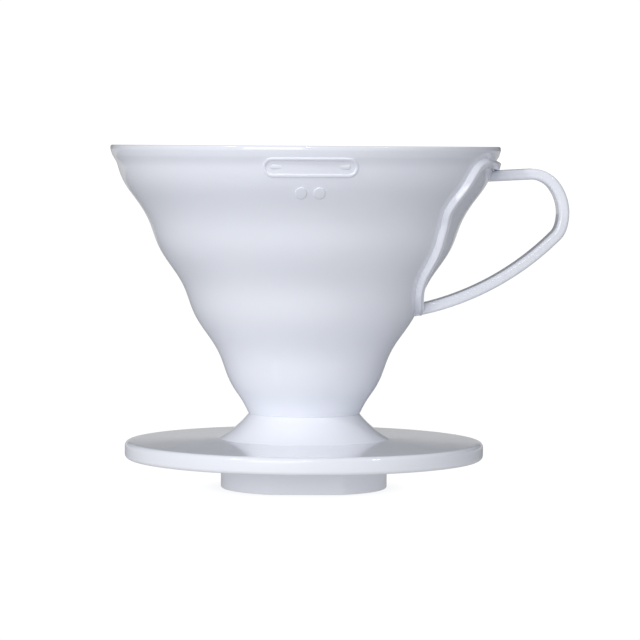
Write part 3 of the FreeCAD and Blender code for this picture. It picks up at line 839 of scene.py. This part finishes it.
# %% Handle's foot frame
FRAME_SIDE = [(5.5, 96.6), (13.0, 97.0), (20.0, 97.3), (25.2, 97.3), (27.9, 95.2),
              (29.0, 90.0), (27.6, 84.4), (24.3, 79.3), (22.9, 74.5), (20.6, 68.3),
              (16.3, 61.8), (11.7, 56.9), (6.0, 54.0)]
half = [Vector((0.0, y * MM, z * MM)) for y, z in FRAME_SIDE]
other_half = [Vector((0.0, -p.y, p.z)) for p in reversed(half)]
frame_line = drawn("frame_line", half + other_half, closed=True, kind="BEZIER")
handle_frame = grown("handle_frame", frame_line, bead_tree, POLISHED, bead_sizes)
stands_for(handle_frame, "handle_foot")

# %% [markdown]
# ## Marks at the front
# The mould leaves a low raised mark under the lip and the size of the dripper below it. Here the
# mark is a plain rounded bar in outline with a bar inside it, and the size is two round pips.
# The outline is a bead; the bar and the pips are pads, whose edge rolls over in a quarter of an
# ellipse.

# %% Emblem and pips
MARK_HEIGHT = 0.45 * MM
MARK_TOP_DROP = 3.2 * MM
MARK_HALF = 13.5 * MM
MARK_ROUND = 2.8 * MM
MARK_Z = HEIGHT - MARK_TOP_DROP - MARK_ROUND
MARK_LINE = 0.9 * MM
MARK_CROWN = MARK_LINE * 0.8
BAR_HALF = 11.25 * MM
BAR_ROUND = 0.6 * MM
PIP_Z = HEIGHT - 13.4 * MM
PIP_RADIUS = 1.7 * MM
PIP_PITCH = 5.2 * MM
PAD_SINK = 0.3 * MM
PAD_ROLL = 0.7              # how far an edge rolls inwards, as a share of its height
CAP_STEPS = 16
EDGE_STEPS = 5


def stadium(half_length, rounding):
    """Points round a bar with round ends, centred at zero."""
    points = []
    for side in (1, -1):
        for step in range(CAP_STEPS + 1):
            turn = side * math.pi / 2 - math.pi * step / CAP_STEPS
            points.append((side * (half_length - rounding) + rounding * math.cos(turn),
                           rounding * math.sin(turn)))
    return points


def front_spot(x, z, proud):
    """Point on the front of the wavy wall, or proud of it."""
    r = wall_radius(z) + proud
    return (x, -math.sqrt(r * r - x * x), z)


def pad(work, x, z, half_length, rounding):
    """Raised pad with a rolled edge, added to a bmesh."""
    rings = []
    for step in range(-1, EDGE_STEPS + 1):
        roll = max(step, 0) / EDGE_STEPS * math.pi / 2
        inset = MARK_HEIGHT * PAD_ROLL * (1 - math.cos(roll))
        proud = MARK_HEIGHT * math.sin(roll) if step >= 0 else -PAD_SINK
        rings.append([work.verts.new(front_spot(x + u, z + v, proud))
                      for u, v in stadium(half_length - inset, rounding - inset)])
    for outer, inner in zip(rings, rings[1:]):
        for k in range(len(outer)):
            k2 = (k + 1) % len(outer)
            work.faces.new((outer[k], outer[k2], inner[k2], inner[k]))
    work.faces.new(rings[-1])
    work.faces.new(reversed(rings[0]))


emblem_line = drawn("emblem_line", [(0.0, u, MARK_Z + v) for u, v in stadium(
    MARK_HALF - MARK_LINE / 2, MARK_ROUND - MARK_LINE / 2)], closed=True)
emblem_sizes = {"Spacing": 0.4 * MM, "Proud": MARK_HEIGHT, "Foot width": MARK_LINE,
                "Crown width": MARK_CROWN, "Corner": 0.2 * MM, "Sink": PAD_SINK,
                "Turn": -math.pi / 2}
outline = grown("emblem_outline", emblem_line, bead_tree, POLISHED, emblem_sizes)
stands_for(outline, "front_emblem")

for name, node, spots in (
        ("emblem_bar", "front_emblem", [(0.0, MARK_Z, BAR_HALF, BAR_ROUND)]),
        ("round_pips", "size_pips", [(side * PIP_PITCH / 2, PIP_Z, PIP_RADIUS, PIP_RADIUS)
                                     for side in (-1, 1)])):
    work = bmesh.new()
    for x, z, half_length, rounding in spots:
        pad(work, x, z, half_length, rounding)
    bmesh.ops.remove_doubles(work, verts=work.verts, dist=0.002 * MM)
    pad_mesh = bpy.data.meshes.new(name)
    work.to_mesh(pad_mesh)
    work.free()
    stands_for(settled(name, pad_mesh, POLISHED), node)

# %% [markdown]
# ## Studio
# White plastic shows its form only by soft gradients and clean reflections. A pale floor and a
# white surround, seen by the camera alone, give the high-key field; the floor's glow carries a
# painted shadow, a little darker where the ring stands on it. One wide soft lamp, low and left
# of the camera, carries the form, three small lamps higher up leave bright points, and a faintly
# glowing plate under the object lifts the shade round the ring. Three grey bands round the set,
# seen only in reflections, give the polished faces something darker to mirror. Light that a
# glossy face throws on another is left out, as it is mostly grain.

# %% Materials of the set
# How far the painted shadow on the floor's glow reaches out from the ring.
PAINTED_SHADOW_REACH = 9 * MM
FLOOR_GLOW = 1.02


def glow(name, strength, lamp_like=False):
    """White lit surface for the set. Only a lamp-like one is aimed at when light is gathered."""
    material, tree = bare_material(name)
    material.cycles.emission_sampling = "AUTO" if lamp_like else "NONE"
    light = add(tree, "ShaderNodeEmission", {"Color": paint("#FFFFFF"), "Strength": strength})
    add(tree, "ShaderNodeOutputMaterial", {"Surface": light.outputs[0]})
    return material


# The floor's colour holds a painted shadow: an ambient-occlusion mask, not the lamps, darkens its
# glow near the ring.
floor_material, floor_tree = bare_material("floor_pale_painted_shadow")
floor_material.cycles.emission_sampling = "NONE"
painted_shadow = add(floor_tree, "ShaderNodeAmbientOcclusion", {"Distance": PAINTED_SHADOW_REACH}, samples=8)
# Floor colour: white, with painted shadow grey mixed in where the occlusion mask is low.
tone = add(floor_tree, "ShaderNodeMix",
           {"Factor": painted_shadow.outputs["AO"], "A": paint("#E6E8ED"), "B": paint("#FFFFFF")},
           data_type="RGBA")
glowing = add(floor_tree, "ShaderNodeEmission",
              {"Color": tone.outputs[2], "Strength": FLOOR_GLOW})
add(floor_tree, "ShaderNodeOutputMaterial", {"Surface": glowing.outputs[0]})
bounce_material = bpy.data.materials.new("floor_bounce")
bounce_material.use_nodes = True
bounce_shader = bounce_material.node_tree.nodes["Principled BSDF"]
bounce_shader.inputs["Base Color"].default_value = paint("#C4C5C8")
bounce_shader.inputs["Roughness"].default_value = 0.8

# %% Floor, surround and bands
FLOOR_HALF = 4.5
BOUNCE_DROP = 0.5 * MM      # the floor that bounces light, under the one that shows
SURROUND_RADIUS = 5.0
SURROUND_FOOT = -0.5
SURROUND_TOP = 8.0
DARK_RADIUS = SURROUND_RADIUS * 0.9
DARK_TOP = 3.0
NEAR_RADIUS = 0.6
NEAR_FOOT = -1 * MM
NEAR_CHANGE = 72 * MM       # the near band is darker above this height
NEAR_TOP = 90 * MM
GLOW_RADIUS = 0.09
GLOW_DROP = 0.2 * MM


def set_piece(name, points, faces, material, rays):
    """Part of the studio: a mesh that only the named kinds of ray can see."""
    mesh = bpy.data.meshes.new(name)
    mesh.from_pydata(points, [], faces)
    mesh.materials.append(material)
    piece = bpy.data.objects.new(name, mesh)
    for kind in ("camera", "diffuse", "glossy", "transmission", "shadow"):
        setattr(piece, "visible_" + kind, kind in rays)
    scene.collection.objects.link(piece)


def circle(radius, z, count):
    """Points round the axis at height z."""
    turns = [FULL_TURN * i / count for i in range(count)]
    return [(radius * math.cos(turn), radius * math.sin(turn), z) for turn in turns]


def band(radius, low, high, count=64):
    """Upright round wall, from low to high."""
    faces = [(i, (i + 1) % count, count + (i + 1) % count, count + i) for i in range(count)]
    return circle(radius, low, count) + circle(radius, high, count), faces


def disc(radius, z, count=48):
    """Flat round plate at height z."""
    return circle(radius, z, count), [tuple(range(count))]


def slab(reach, z):
    """Flat square at height z."""
    points = [(-reach, -reach, z), (reach, -reach, z), (reach, reach, z), (-reach, reach, z)]
    return points, [(0, 1, 2, 3)]


set_piece("floor", *slab(FLOOR_HALF, 0.0), floor_material, ("camera",))
set_piece("floor_bounce", *slab(FLOOR_HALF, -BOUNCE_DROP), bounce_material,
          ("diffuse", "glossy", "shadow"))
set_piece("surround", *band(SURROUND_RADIUS, SURROUND_FOOT, SURROUND_TOP),
          glow("surround_white", 1.05), ("camera",))
set_piece("dark_band", *band(DARK_RADIUS, SURROUND_FOOT, DARK_TOP),
          glow("band_dark", 0.13), ("glossy",))
set_piece("low_band", *band(NEAR_RADIUS, NEAR_FOOT, NEAR_CHANGE),
          glow("band_grey", 0.55), ("glossy",))
set_piece("mid_band", *band(NEAR_RADIUS, NEAR_CHANGE, NEAR_TOP),
          glow("band_mid", 0.25), ("glossy",))
set_piece("light_plate", *disc(GLOW_RADIUS, -GLOW_DROP),
          glow("plate_glow", 0.6, lamp_like=True), ("diffuse",))

# %% Lamps and world
LAMP_DISTANCE = 1.5
LAMP_AIM = Vector((0, 0, 50 * MM))
KEY_SIZE = 0.9
POINT_SIZE = 0.12


def lamp(name, azimuth, elevation, size, watts):
    """Square soft light aimed at the cone. Azimuth 0 is the camera's side, plus is right."""
    light = bpy.data.lights.new(name, "AREA")
    light.shape = "SQUARE"
    light.size = size
    light.energy = watts
    turn, tilt = math.radians(azimuth), math.radians(elevation)
    away = Vector((math.sin(turn) * math.cos(tilt), -math.cos(turn) * math.cos(tilt),
                   math.sin(tilt)))
    holder = bpy.data.objects.new(name, light)
    holder.matrix_world = Matrix.LocRotScale(
        LAMP_AIM + away * LAMP_DISTANCE, (-away).to_track_quat("-Z", "Y"), None)
    holder.visible_camera = False
    scene.collection.objects.link(holder)


lamp("key", -20, 5, KEY_SIZE, 13.0)
lamp("point_left", -50, 36, POINT_SIZE, 4.2)
lamp("point_right", 50, 36, POINT_SIZE, 1.8)
lamp("point_front", 0, 32, POINT_SIZE, 2.0)

world = bpy.data.worlds.new("studio")
scene.world = world
world.use_nodes = True
background = world.node_tree.nodes["Background"]
background.inputs["Color"].default_value = paint("#F3F5FA")
background.inputs["Strength"].default_value = 0.38
scene.view_settings.view_transform = "Standard"
scene.cycles.caustics_reflective = False
